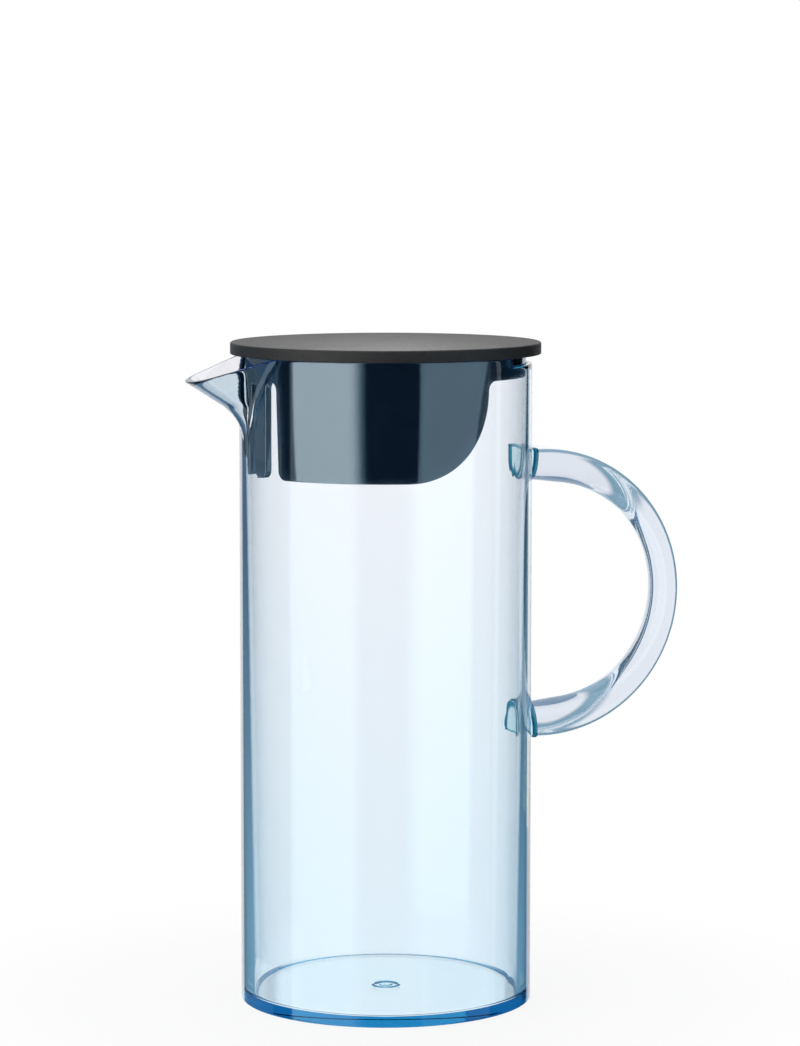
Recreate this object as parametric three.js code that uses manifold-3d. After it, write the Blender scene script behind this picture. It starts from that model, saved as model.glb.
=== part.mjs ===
// Clear plastic water jug with a bonded half-ring handle and a turning black lid.
// Millimetres, +Z up. The origin is the centre of the flat underside.
// The handle points along +X and the spout along -X. Lid angles are counted from
// the spout towards -Y.
import * as THREE from 'three';
import { mergeVertices } from 'three/addons/utils/BufferGeometryUtils.js';
import Module from 'manifold-3d';

// Driving dimensions of the jug body
const bodyRadius = 50;
const rimHeight = 222.2;
const rimWall = 1.7;
const baseWall = 4.2;
const floorThickness = 3.9;
const baseEdgeRadius = 0.8;
const floorCornerRadius = 2.5;
const rimEdgeRadius = 0.4;

// Moulding mark in the middle of the floor
const gateRingRadius = 4.7;
const gateRingWidth = 0.9;
const gateDomeRadius = 2.4;
const gateHeight = 0.5;

// Relief in the rim on the handle side
const reliefHalfAngle = 50;
const reliefDepth = 2.9;
const reliefCorner = 1;

// Spout
const spoutReach = 20.3;
const spoutTipDrop = 8.2;
const spoutHalfAngle = 16.5;
const spoutNoseRadius = 10.9;
const spoutFootRadius = 4;
const spoutKeelWall = 4.5;
const spoutSideWall = 1.6;
const keelSlope = 32.5;
const keelBendRadius = 18;

// Handle: the outside is a flat band on one circle, the finger side is round on another
const handleDrop = 83.2;
const handleRadius = 49.9;
const handleMiddleThickness = 7.6;
const handleEndThickness = 12.2;
const handleWidth = 16.5;
const handleStraight = 2.8;
const gripTaper = 7;
const bossStandoff = 1.4;
const bossFillet = 1.6;
const bossFilletShare = 0.8;
const bondThickness = 0.4;

// Lid
const lidTurn = 3.7;
const lidOverhang = 3;
const coverThickness = 4;
const coverEdgeRadius = 0.6;
const seatGap = 0.3;
const skirtClearance = 0.4;
const skirtWall = 2.2;
const skirtDraft = 0.7;
const tallSkirtDepth = 40.2;
const shortSkirtDepth = 7.1;
const skirtFillet = 3.2;
const closedEndAngle = 114.1;
const postEndAngle = -38;
const postEndWidth = 8;
const slotPitchAngle = 16.7;
const slotTopWidth = 5.4;
const slotBottomWidth = 6.7;
const slotTopDepth = 4.6;
const slotCornerRadius = 3.2;
const flangeWidth = 6;
const flangeThickness = 1.8;
const snapRingWall = 1.6;
const snapLip = 0.9;
const snapLipHeight = 1.2;

// Fineness of the round surfaces
const roundSteps = 84;
const handleSteps = 32;
const sectionSteps = 12;
const angleStep = 5;
const edgeSteps = 3;
const cornerSteps = 5;
const bendSteps = 8;
const roundEndSteps = 10;
const noseSteps = 14;
const weldDistance = 1e-4;

const wasm = await Module();
wasm.setup();

const radians = THREE.MathUtils.degToRad;
const degrees = THREE.MathUtils.radToDeg;

// Joining and cutting

function toSolid(geometry) {
  const bare = geometry.clone();
  bare.deleteAttribute('normal');
  bare.deleteAttribute('uv');
  const merged = mergeVertices(bare, weldDistance);
  const corners = merged.index.array;
  const triangles = [];
  for (let i = 0; i < corners.length; i += 3) {
    const [a, b, c] = [corners[i], corners[i + 1], corners[i + 2]];
    if (a !== b && b !== c && c !== a) triangles.push(a, b, c);
  }
  const mesh = new wasm.Mesh({
    numProp: 3,
    vertProperties: new Float32Array(merged.attributes.position.array),
    triVerts: new Uint32Array(triangles),
  });
  return new wasm.Manifold(mesh);
}

function toGeometry(solid) {
  const mesh = solid.getMesh();
  const geometry = new THREE.BufferGeometry();
  geometry.setAttribute('position', new THREE.BufferAttribute(mesh.vertProperties, 3));
  geometry.setIndex(new THREE.BufferAttribute(mesh.triVerts, 1));
  geometry.computeVertexNormals();
  return geometry;
}

// Basic forms

// Solid of revolution about +Z from a profile of (radius, height) points, outside going up.
function turned(points) {
  const geometry = new THREE.LatheGeometry(points, roundSteps);
  geometry.rotateX(Math.PI / 2);
  return toSolid(geometry);
}

// Points of an arc in a profile, from one angle in degrees to another.
function arc(x, y, radius, from, to, steps = cornerSteps) {
  const points = [];
  for (let i = 0; i <= steps; i += 1) {
    const angle = radians(from + ((to - from) * i) / steps);
    points.push(new THREE.Vector2(x + radius * Math.cos(angle), y + radius * Math.sin(angle)));
  }
  return points;
}

// Closed body through rings of points that all have the same count.
function loft(rings) {
  const count = rings[0].length;
  const corners = rings.flat();
  const index = [];
  for (let i = 0; i < rings.length - 1; i += 1) {
    for (let j = 0; j < count; j += 1) {
      const a = i * count + j;
      const b = i * count + ((j + 1) % count);
      index.push(a, b, b + count, a, b + count, a + count);
    }
  }
  const last = (rings.length - 1) * count;
  for (let j = 1; j < count - 1; j += 1) {
    index.push(0, j + 1, j);
    index.push(last, last + j, last + j + 1);
  }
  const geometry = new THREE.BufferGeometry().setFromPoints(corners);
  geometry.setIndex(index);
  const solid = toSolid(geometry);
  return solid.volume() < 0 ? toSolid(flipped(geometry)) : solid;
}

function flipped(geometry) {
  const turnedRound = geometry.clone();
  turnedRound.setIndex([...geometry.index.array].reverse());
  return turnedRound;
}

// Point at an angle in degrees from the spout towards -Y.
function around(angle, radius, height) {
  const a = radians(angle);
  return new THREE.Vector3(-radius * Math.cos(a), -radius * Math.sin(a), height);
}

// Part of a ring whose lower and upper faces follow the given stations.
function ringSector(stations, innerRadius, outerRadius) {
  return loft(stations.map(({ angle, low, high }) => [
    around(angle, innerRadius, low),
    around(angle, outerRadius, low),
    around(angle, outerRadius, high),
    around(angle, innerRadius, high),
  ]));
}

// Angles from one to another, the ends included, at about the common step.
function spread(from, to) {
  const steps = Math.max(1, Math.round(Math.abs(to - from) / angleStep));
  return Array.from({ length: steps + 1 }, (_, i) => from + ((to - from) * i) / steps);
}

// Jug body

function outerCylinder() {
  return turned([
    new THREE.Vector2(0, 0),
    ...arc(bodyRadius - baseEdgeRadius, baseEdgeRadius, baseEdgeRadius, -90, 0),
    ...arc(bodyRadius - rimEdgeRadius, rimHeight - rimEdgeRadius, rimEdgeRadius, 0, 90, edgeSteps),
    new THREE.Vector2(0, rimHeight),
  ]);
}

function cavity() {
  const floorRadius = bodyRadius - baseWall;
  const rimRadius = bodyRadius - rimWall;
  const slope = (rimRadius - floorRadius) / (rimHeight - floorThickness);
  return turned([
    new THREE.Vector2(0, floorThickness),
    ...arc(floorRadius - floorCornerRadius, floorThickness + floorCornerRadius, floorCornerRadius, -90, 0),
    new THREE.Vector2(rimRadius + slope * rimHeight, 2 * rimHeight),
    new THREE.Vector2(0, 2 * rimHeight),
  ]);
}

function gateMark() {
  const base = floorThickness - gateHeight;
  const top = floorThickness + gateHeight;
  const ring = turned([
    new THREE.Vector2(gateRingRadius - gateRingWidth, base),
    new THREE.Vector2(gateRingRadius, base),
    new THREE.Vector2(gateRingRadius, floorThickness),
    new THREE.Vector2(gateRingRadius - gateRingWidth / 2, top),
    new THREE.Vector2(gateRingRadius - gateRingWidth, floorThickness),
    new THREE.Vector2(gateRingRadius - gateRingWidth, base),
  ]);
  const dome = turned([
    new THREE.Vector2(0, base),
    new THREE.Vector2(gateDomeRadius, base),
    new THREE.Vector2(gateDomeRadius, floorThickness),
    new THREE.Vector2(gateDomeRadius - gateHeight, top),
    new THREE.Vector2(0, top),
  ]);
  return ring.add(dome);
}

function rimRelief() {
  const low = rimHeight - reliefDepth;
  const high = rimHeight + reliefDepth;
  const cornerAngle = degrees(reliefCorner / bodyRadius);
  const from = 180 - reliefHalfAngle;
  const to = 180 + reliefHalfAngle;
  const corner = arc(0, 0, 1, 180, 270).map((p) => ({
    turn: (1 + p.x) * cornerAngle,
    low: low + (1 + p.y) * reliefCorner,
  }));
  const stations = [
    ...corner.map((p) => ({ angle: from + p.turn, low: p.low, high })),
    ...spread(from + cornerAngle, to - cornerAngle).slice(1, -1).map((angle) => ({ angle, low, high })),
    ...corner.reverse().map((p) => ({ angle: to - p.turn, low: p.low, high })),
  ];
  return ringSector(stations, bodyRadius - 2 * baseWall, bodyRadius + 2 * baseWall);
}

// Spout: a beak with a round nose whose keel runs straight in from the tip and then bends
// down into the wall. Each ring is a level cut through it, and the nose gets sharper downwards.

const tipReach = bodyRadius + spoutReach;
const keelTan = Math.tan(radians(keelSlope));
const beakAngle = radians(spoutHalfAngle);
const keelRootReach = bodyRadius - rimEdgeRadius;
const keelSetback = keelBendRadius * Math.tan(radians((90 - keelSlope) / 2));
const keelFootDepth = spoutTipDrop + (tipReach - keelRootReach) * keelTan + keelSetback;

// Reach of the keel and its depth below the rim, from above the rim down to the wall.
function keelStations() {
  const overRim = { depth: -spoutTipDrop, reach: tipReach + (2 * spoutTipDrop) / keelTan };
  const bendCentre = keelRootReach + keelBendRadius;
  const bend = arc(bendCentre, keelFootDepth, keelBendRadius, 270 - keelSlope, 180, bendSteps);
  return [overRim, ...bend.map((p) => ({ depth: p.y, reach: p.x }))];
}

function noseRadiusAt(depth) {
  const share = (keelFootDepth - depth) / (keelFootDepth - spoutTipDrop);
  return spoutFootRadius + (spoutNoseRadius - spoutFootRadius) * share;
}

// The beak's outside, or its channel when walls are given for the keel and the sides.
function beak(keelWall, sideWall) {
  const backReach = bodyRadius / 2;
  const rings = keelStations().map(({ depth, reach }) => {
    const nose = noseRadiusAt(depth) - sideWall;
    const centre = reach - keelWall - nose;
    const halfBack = (centre - backReach + nose / Math.sin(beakAngle)) * Math.tan(beakAngle);
    const outline = [
      new THREE.Vector2(backReach, -halfBack),
      ...arc(centre, 0, nose, spoutHalfAngle - 90, 90 - spoutHalfAngle, noseSteps),
      new THREE.Vector2(backReach, halfBack),
    ];
    return outline.map((p) => new THREE.Vector3(-p.x, -p.y, rimHeight - depth));
  });
  return loft(rings);
}

// Everything above the slanted edge that runs from the rim down to the tip.
function aboveSpoutEdge() {
  const rimNose = noseRadiusAt(0);
  const noseCentre = tipReach + spoutTipDrop / keelTan - rimNose;
  const sideDistance = noseCentre * Math.sin(beakAngle) + rimNose;
  const rootAngle = Math.asin(sideDistance / bodyRadius) - beakAngle;
  const rootReach = bodyRadius * Math.cos(rootAngle);
  const fall = spoutTipDrop / (tipReach - rootReach);
  const farReach = tipReach + 2 * spoutReach;
  const outline = new THREE.Shape([
    new THREE.Vector2(0, rimHeight),
    new THREE.Vector2(rootReach, rimHeight),
    new THREE.Vector2(farReach, rimHeight - fall * (farReach - rootReach)),
    new THREE.Vector2(farReach, 2 * rimHeight),
    new THREE.Vector2(0, 2 * rimHeight),
  ]);
  const slab = new THREE.ExtrudeGeometry(outline, { depth: 4 * bodyRadius, bevelEnabled: false });
  slab.translate(0, 0, -2 * bodyRadius);
  slab.rotateX(Math.PI / 2);
  slab.rotateZ(Math.PI);
  return toSolid(slab);
}

// Handle and the two short bosses that it is bonded to

const jointReach = bodyRadius + bossStandoff + bondThickness;
const handleArcReach = jointReach + handleStraight;
const handleCentreHeight = rimHeight - handleDrop;
const gripRadius = handleRadius - handleEndThickness;
const gripShift = handleEndThickness - handleMiddleThickness;

// D-shaped ring from the flat outside to the round finger side, as a function of two points
// of the handle's own upright plane.
function handleSection(outside, inside, halfWidth) {
  const ring = [];
  for (let i = 0; i <= sectionSteps; i += 1) {
    const turn = (Math.PI * i) / sectionSteps;
    const centre = outside.clone().lerp(inside, Math.sin(turn));
    ring.push(new THREE.Vector3(centre.x, -halfWidth * Math.cos(turn), centre.y));
  }
  return ring;
}

// The outer and finger-side points of the handle at a share of the way from its top end.
function handlePoints(share) {
  const outer = Math.PI * (0.5 - share);
  const inner = (Math.PI / 2 - radians(gripTaper)) * (1 - 2 * share);
  const plane = new THREE.Vector2(handleArcReach, handleCentreHeight);
  const outside = new THREE.Vector2(Math.cos(outer), Math.sin(outer)).multiplyScalar(handleRadius).add(plane);
  const inside = new THREE.Vector2(Math.cos(inner), Math.sin(inner)).multiplyScalar(gripRadius).add(plane);
  inside.x += gripShift;
  return { outside, inside };
}

function handleBar() {
  const rings = [endRing(0, jointReach, 0)];
  for (let i = 0; i <= handleSteps; i += 1) {
    const { outside, inside } = handlePoints(i / handleSteps);
    rings.push(handleSection(outside, inside, handleWidth / 2));
  }
  rings.push(endRing(1, jointReach, 0));
  return loft(rings);
}

// Ring of a handle end moved straight in to a reach, and grown all round.
function endRing(share, reach, growth) {
  const { outside, inside } = handlePoints(share);
  const outward = Math.sign(outside.y - inside.y);
  const taper = (inside.x - reach) * Math.tan(radians(gripTaper));
  const grownOutside = new THREE.Vector2(reach, outside.y + outward * growth);
  const grownInside = new THREE.Vector2(reach, inside.y + outward * (taper - growth));
  return handleSection(grownOutside, grownInside, handleWidth / 2 + growth);
}

function bond(share) {
  return loft([
    endRing(share, jointReach - bondThickness, 0),
    endRing(share, jointReach, 0),
  ]);
}

function boss(share) {
  const rootReach = bodyRadius - baseWall;
  const faceReach = jointReach - bondThickness;
  const edgeReach = Math.sqrt(bodyRadius ** 2 - (handleWidth / 2) ** 2);
  const fillet = Math.min(bossFillet, (faceReach - edgeReach) * bossFilletShare);
  const flare = arc(edgeReach + fillet, fillet, fillet, 180, 270, edgeSteps);
  return loft([
    endRing(share, rootReach, fillet),
    ...flare.map((p) => endRing(share, p.x, p.y)),
    endRing(share, faceReach, 0),
  ]);
}

function jugBody() {
  const spout = beak(0, 0).subtract(aboveSpoutEdge());
  return outerCylinder()
    .add(spout)
    .add(boss(0))
    .add(boss(1))
    .subtract(cavity())
    .subtract(beak(spoutKeelWall, spoutSideWall))
    .subtract(rimRelief())
    .add(gateMark());
}

// Lid

const lidBottom = rimHeight + seatGap;
const skirtTop = lidBottom - seatGap;
const skirtTopRadius = bodyRadius - rimWall - skirtClearance;
const skirtBottomRadius = skirtTopRadius - skirtDraft;
const skirtBottom = rimHeight - tallSkirtDepth;
const flangeInner = skirtTopRadius - skirtWall - flangeWidth;
const snapRadius = flangeInner - seatGap;

function lidCover() {
  const radius = bodyRadius + lidOverhang;
  const top = lidBottom + coverThickness;
  const lipTop = skirtTop - flangeThickness - seatGap;
  const lipBottom = lipTop - snapLipHeight;
  const lowerEdge = coverEdgeRadius / 2;
  return turned([
    new THREE.Vector2(0, lidBottom),
    new THREE.Vector2(snapRadius - snapRingWall, lidBottom),
    new THREE.Vector2(snapRadius - snapRingWall, lipBottom),
    new THREE.Vector2(snapRadius, lipBottom),
    new THREE.Vector2(snapRadius + snapLip, lipTop),
    new THREE.Vector2(snapRadius, lipTop),
    new THREE.Vector2(snapRadius, lidBottom),
    ...arc(radius - lowerEdge, lidBottom + lowerEdge, lowerEdge, -90, 0, edgeSteps),
    ...arc(radius - coverEdgeRadius, top - coverEdgeRadius, coverEdgeRadius, 0, 90, edgeSteps),
    new THREE.Vector2(0, top),
  ]);
}

function skirtRing() {
  const wallTop = skirtTop - flangeThickness;
  return turned([
    new THREE.Vector2(flangeInner, wallTop),
    new THREE.Vector2(skirtTopRadius - skirtWall, wallTop),
    new THREE.Vector2(skirtBottomRadius - skirtWall, skirtBottom),
    new THREE.Vector2(skirtBottomRadius, skirtBottom),
    new THREE.Vector2(skirtTopRadius, skirtTop),
    new THREE.Vector2(flangeInner, skirtTop),
    new THREE.Vector2(flangeInner, wallTop),
  ]);
}

// One end of the cut-away: from the full depth up a rounded corner, then into the short skirt
// through a fillet. The sign says which way round the lid it goes.
function cutEnd(endAngle, cornerWidth, sign) {
  const perDegree = radians(1) * skirtTopRadius;
  const cornerHeight = tallSkirtDepth - shortSkirtDepth - skirtFillet;
  const corner = arc(-cornerWidth, 0, 1, 270, 360, roundEndSteps).map((p) => ({
    along: (p.x + cornerWidth) * cornerWidth - cornerWidth,
    depth: shortSkirtDepth + skirtFillet - p.y * cornerHeight,
  }));
  const fillet = arc(skirtFillet, shortSkirtDepth + skirtFillet, skirtFillet, 180, 270)
    .slice(1)
    .map((p) => ({ along: p.x, depth: p.y }));
  return [...corner, ...fillet].map(({ along, depth }) => ({
    angle: endAngle + (sign * along) / perDegree,
    low: skirtBottom - skirtFillet,
    high: rimHeight - depth,
  }));
}

function skirtCutAway() {
  const nearEnd = cutEnd(closedEndAngle, tallSkirtDepth - shortSkirtDepth - skirtFillet, 1);
  const farEnd = cutEnd(360 + postEndAngle, postEndWidth, -1).reverse();
  const from = nearEnd.at(-1);
  const middle = spread(from.angle, farEnd[0].angle).slice(1, -1);
  const stations = [...nearEnd, ...middle.map((angle) => ({ ...from, angle })), ...farEnd];
  return ringSector(stations, skirtBottomRadius - 2 * skirtWall, skirtTopRadius + skirtWall);
}

// Slot of the comb with a round top and rounded corners where it leaves the lower edge.
function combSlot(angle) {
  const topHalf = slotTopWidth / 2;
  const bottomHalf = slotBottomWidth / 2;
  const below = skirtBottom - skirtFillet;
  const cornerX = bottomHalf + slotCornerRadius;
  const cornerY = skirtBottom + slotCornerRadius;
  const outline = new THREE.Shape([
    ...arc(cornerX, cornerY, slotCornerRadius, 270, 180),
    ...arc(0, rimHeight - slotTopDepth - topHalf, topHalf, 0, 180, roundEndSteps),
    ...arc(-cornerX, cornerY, slotCornerRadius, 0, -90),
    new THREE.Vector2(-cornerX, below),
    new THREE.Vector2(cornerX, below),
  ]);
  const depth = 4 * skirtWall;
  const slot = new THREE.ExtrudeGeometry(outline, { depth, bevelEnabled: false });
  slot.translate(0, 0, skirtTopRadius - depth / 2);
  slot.rotateX(Math.PI / 2);
  slot.rotateZ(radians(angle - 90));
  return toSolid(slot);
}

function lidSkirt() {
  let skirt = skirtRing().subtract(skirtCutAway());
  for (const place of [-1, 0, 1]) {
    skirt = skirt.subtract(combSlot(place * slotPitchAngle));
  }
  return skirt;
}

// Assembly

const clearBlue = { color: 0xc4dff0, roughness: 0.06, metalness: 0, transparent: true, opacity: 0.35 };
const tealBond = { color: 0x2f9cb4, roughness: 0.1, metalness: 0, transparent: true, opacity: 0.6 };
const texturedBlack = { color: 0x2b2b2c, roughness: 0.6, metalness: 0 };
const glossBlack = { color: 0x10151c, roughness: 0.2, metalness: 0 };

const jug = new THREE.Group();

function addPiece(name, solid, look) {
  const piece = new THREE.Mesh(toGeometry(solid), new THREE.MeshStandardMaterial(look));
  piece.name = name;
  jug.add(piece);
  return piece;
}

addPiece('jug_body', jugBody(), clearBlue);
addPiece('handle', handleBar(), clearBlue);
addPiece('upper_handle_bond', bond(0), tealBond);
addPiece('lower_handle_bond', bond(1), tealBond);
addPiece('lid_cover', lidCover(), texturedBlack);
addPiece('lid_skirt', lidSkirt(), glossBlack).rotation.z = radians(lidTurn);

export default jug;
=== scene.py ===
# Clear pale blue water jug with a bonded handle and a turning black lid, on a white sweep.
import math

import bmesh
import bpy
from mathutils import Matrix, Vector


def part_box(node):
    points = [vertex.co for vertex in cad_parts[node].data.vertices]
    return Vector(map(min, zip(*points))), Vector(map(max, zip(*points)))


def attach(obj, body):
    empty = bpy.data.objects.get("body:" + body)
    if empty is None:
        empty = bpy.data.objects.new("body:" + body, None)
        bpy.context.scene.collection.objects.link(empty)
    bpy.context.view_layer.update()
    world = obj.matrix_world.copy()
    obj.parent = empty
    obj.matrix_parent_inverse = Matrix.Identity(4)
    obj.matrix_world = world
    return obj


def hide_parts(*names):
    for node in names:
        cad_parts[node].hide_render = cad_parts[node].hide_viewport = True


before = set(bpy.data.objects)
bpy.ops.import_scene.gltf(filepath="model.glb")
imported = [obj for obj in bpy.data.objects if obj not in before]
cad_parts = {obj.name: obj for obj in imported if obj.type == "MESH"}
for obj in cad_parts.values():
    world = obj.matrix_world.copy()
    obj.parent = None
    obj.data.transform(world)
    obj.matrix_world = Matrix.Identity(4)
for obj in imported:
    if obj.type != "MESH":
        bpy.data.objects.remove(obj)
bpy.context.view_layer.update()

MM = 0.001
MERGE_DISTANCE = 0.001 * MM
SMOOTH_ANGLE = math.radians(40)

# Sizes taken from the frame
JUG_LOW, JUG_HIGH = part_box("jug_body")
HANDLE_LOW, HANDLE_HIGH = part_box("handle")
BOND_LOW, BOND_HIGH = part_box("upper_handle_bond")
COVER_LOW, COVER_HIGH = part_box("lid_cover")
SKIRT_LOW, SKIRT_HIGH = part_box("lid_skirt")

RIM = JUG_HIGH.z
BODY_RADIUS = JUG_HIGH.y
TIP_REACH = -JUG_LOW.x

# Jug body
RIM_WALL = 1.7 * MM
BASE_WALL = 4.2 * MM
FLOOR_THICKNESS = 3 * MM
BASE_EDGE = 0.4 * MM
FLOOR_CORNER = 1.5 * MM
RIM_EDGE = 0.4 * MM
FLAT_HOLD = 0.5 * MM
LEVEL_STEP = 2 * MM
LEVEL_MARGIN = 4 * MM
MARK_RING_RADIUS = 4.25 * MM
MARK_RING_HALF = 0.55 * MM
MARK_DOME_RADIUS = 2.4 * MM
MARK_HEIGHT = 0.3 * MM

# Dip in the rim on the handle side
DIP_HALF_ANGLE = 50
DIP_DEPTH = 2.9 * MM
DIP_CORNER = 1.2

# Spout
TIP_DROP = 8.2 * MM
BEAK_HALF_ANGLE = math.radians(16.5)
BEAK_LIMIT = math.radians(80)
NOSE_RADIUS = 10.9 * MM
FOOT_RADIUS = 4 * MM
LEAST_NOSE = 0.6 * MM
SPOUT_WALL = 1.7 * MM
KEEL_SLOPE = math.radians(32.5)
KEEL_BEND = 18 * MM
ROOT_FILLET = 1.2 * MM
CHANNEL_FILLET = 2.1 * MM
SPOUT_ZONE = RIM - 40 * MM
SPOUT_COLUMNS_END = 38

# Handle
HANDLE_HALF = HANDLE_HIGH.y
HANDLE_RADIUS = (HANDLE_HIGH.z - HANDLE_LOW.z) / 2
HANDLE_MIDDLE = (HANDLE_HIGH.z + HANDLE_LOW.z) / 2
JOINT_REACH = HANDLE_LOW.x
ARC_REACH = HANDLE_HIGH.x - HANDLE_RADIUS
MIDDLE_THICKNESS = 7.6 * MM
END_THICKNESS = 12.2 * MM
GRIP_TAPER = math.radians(7)
BAND_EDGE = 1.3 * MM
BOSS_ROOT = 48.3 * MM
BOSS_FILLET = 0.9 * MM
BOND_OVERLAP = 0.03 * MM
BEAD_HALF_LENGTH = 0.95 * MM
BEAD_HEIGHT = 0.5 * MM

# Lid
COVER_EDGE = 0.6 * MM
COVER_STEPS = 256
LID_BOTTOM = COVER_HIGH.z - 4 * MM
SNAP_RADIUS = 39.4 * MM
SNAP_WALL = 1.6 * MM
SNAP_LIP = 0.9 * MM
SNAP_LIP_HEIGHT = 1.2 * MM
LID_TURN = 3.7
SKIRT_TOP_RADIUS = 47.9 * MM
SKIRT_DRAFT = 0.7 * MM
SKIRT_WALL = 2.2 * MM
SHORT_DEPTH = 7.1 * MM
SKIRT_FILLET = 3.2 * MM
CLOSED_END = 114.1
POST_END = -38
POST_CORNER = 8 * MM
SLOT_PITCH = 16.7
SLOT_TOP = 5.4 * MM
SLOT_SPREAD = 1.3 * MM
MIDDLE_SLOT = 4.2 * MM
SLOT_TOP_DEPTH = 7.6 * MM
SLOT_CORNER = 3.2 * MM
SKIRT_EDGE = 0.35 * MM
SKIRT_RIM_ANGLE = math.radians(50)
SKIRT_SEAM = -120
STRIP_ANGLE = 2
STRIP_SHIFT = 0.5
FLANGE_INNER = 39.7 * MM
FLANGE_THICKNESS = 1.8 * MM
FLANGE_SINK = 0.2 * MM
FLANGE_STEPS = 192

# Camera
CAMERA_TURN = math.radians(17.5)
CAMERA_DISTANCE = 1312.6 * MM
CAMERA_HEIGHT = 304.1 * MM
CAMERA_PITCH = math.radians(6.08)
CAMERA_YAW = math.radians(0.213)
CAMERA_LENS = 132.73
SENSOR_WIDTH = 36


# Shader nodes

class Wire:
    """A node's output that can stand in a sum."""

    def __init__(self, nodes, socket):
        self.nodes = nodes
        self.socket = socket

    def math(self, operation, first, second):
        return self.nodes.node("ShaderNodeMath", {"operation": operation}, {0: first, 1: second})

    def __add__(self, other):
        return self.math("ADD", self, other)

    __radd__ = __add__

    def __sub__(self, other):
        return self.math("SUBTRACT", self, other)

    def __rsub__(self, other):
        return self.math("SUBTRACT", other, self)

    def __mul__(self, other):
        return self.math("MULTIPLY", self, other)

    __rmul__ = __mul__


class Nodes:
    """The node tree of a material or the world, emptied and filled again."""

    def __init__(self, owner):
        owner.use_nodes = True
        self.tree = owner.node_tree
        self.tree.nodes.clear()

    def node(self, kind, settings=None, sockets=None, output=0):
        made = self.tree.nodes.new(kind)
        for name, value in (settings or {}).items():
            setattr(made, name, value)
        for name, value in (sockets or {}).items():
            if isinstance(value, Wire):
                self.tree.links.new(value.socket, made.inputs[name])
            else:
                made.inputs[name].default_value = value
        return Wire(self, made.outputs[output]) if made.outputs else made

    def object_place(self):
        return self.node("ShaderNodeTexCoord", output="Object")

    def noise(self, place, scale, detail=2):
        return self.node("ShaderNodeTexNoise", None, {"Vector": place, "Scale": scale, "Detail": detail})

    def ramp(self, value, low, high, from_value, to_value, smooth=False):
        kind = "SMOOTHSTEP" if smooth else "LINEAR"
        return self.node(
            "ShaderNodeMapRange",
            {"interpolation_type": kind},
            {"Value": value, "From Min": low, "From Max": high, "To Min": from_value, "To Max": to_value},
        )

    def blend(self, share, first, second):
        return self.node("ShaderNodeMix", {"data_type": "RGBA"}, {0: share, 6: first, 7: second}, 2)

    def part_of(self, place, axis):
        return self.node("ShaderNodeSeparateXYZ", None, {0: place}, axis)

    def root(self, value):
        return self.node("ShaderNodeMath", {"operation": "SQRT"}, {0: value})

    def size_of(self, value):
        return self.node("ShaderNodeMath", {"operation": "ABSOLUTE"}, {0: value})

    def bump(self, height, strength, distance):
        sockets = {"Height": height, "Strength": strength, "Distance": distance}
        return self.node("ShaderNodeBump", None, sockets)


# Materials

PLASTIC_IOR = 1.57
COVER_IOR = 1.6
SKIRT_IOR = 3.6
CLEAR_SHINE = (0.72, 0.88, 1, 1)
SKIRT_SHINE = (0.75, 0.9, 1, 1)
CEMENT_MILK = (0.82, 0.86, 0.88, 1)
CEMENT_RIM = (0.02, 0.2, 0.3, 1)
# strength of the painted glow of the cement
CEMENT_PAINTED_GLOW = 0.95
WIPE_SCALE = 35


def clear_plastic(name, soak_colour, soak_density, base, tint_and_shade_share, tint_and_shade):
    """Clear moulded plastic whose colour deepens with the length of the way through it, with a second colour
    blended in by a share: painted shade on the spout and the handle's band edges, real streaks in the cement.
    """
    material = bpy.data.materials.new(name)
    nodes = Nodes(material)
    place = nodes.object_place()
    wipe = nodes.noise(place, WIPE_SCALE, 3)
    flow = nodes.noise(place, 55, 1)
    surface = nodes.node("ShaderNodeBsdfPrincipled", None, {
        # second colour: painted shade for the spout and band edges, real streaks for the cement bead
        "Base Color": nodes.blend(tint_and_shade_share(nodes, place), base, tint_and_shade),
        "Roughness": nodes.ramp(wipe, 0.35, 0.75, 0.0, 0.02),
        "IOR": PLASTIC_IOR,
        "Specular Tint": CLEAR_SHINE,
        "Transmission Weight": 1,
        "Normal": nodes.bump(flow, 0.15, 0.02 * MM),
    })
    soak = nodes.node("ShaderNodeVolumeAbsorption", None, {"Color": soak_colour, "Density": soak_density})
    nodes.node("ShaderNodeOutputMaterial", None, {"Surface": surface, "Volume": soak})
    return material


def spout_painted_shade_share(nodes, place):
    """1 on the front side of the spout, where painted shade makes it a little deeper in colour than the wall.
    """
    beyond = nodes.part_of(place, "X")
    across = nodes.part_of(place, "Y")
    front = nodes.ramp(across, -2 * MM, MM, 1, 0.1, True)
    return front * nodes.ramp(beyond, -BODY_RADIUS - 3 * MM, -BODY_RADIUS + MM, 1, 0, True)


def band_edge_painted_shade_share(nodes, place):
    """1 on the two edges of the handle's flat band, where painted shade darkens them."""
    apart = nodes.part_of(place, "X")
    across = nodes.part_of(place, "Y")
    height = nodes.part_of(place, "Z")
    past = nodes.node("ShaderNodeMath", {"operation": "MAXIMUM"}, {0: apart - ARC_REACH, 1: 0})
    level = height - HANDLE_MIDDLE
    reach = nodes.root(past * past + level * level)
    side = nodes.size_of(across)
    inset = BAND_EDGE * (1 - math.sqrt(0.5))
    down = reach - (HANDLE_RADIUS - inset)
    aside = side - (HANDLE_HALF - inset)
    away = nodes.root(down * down + aside * aside)
    return nodes.ramp(away, 0.5 * MM, 1.1 * MM, 1, 0, True)


def streak_share(nodes, place):
    """1 in the streaks of uneven cement."""
    return nodes.ramp(nodes.noise(place, WIPE_SCALE, 3), 0.4, 0.7, 0, 1)


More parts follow.
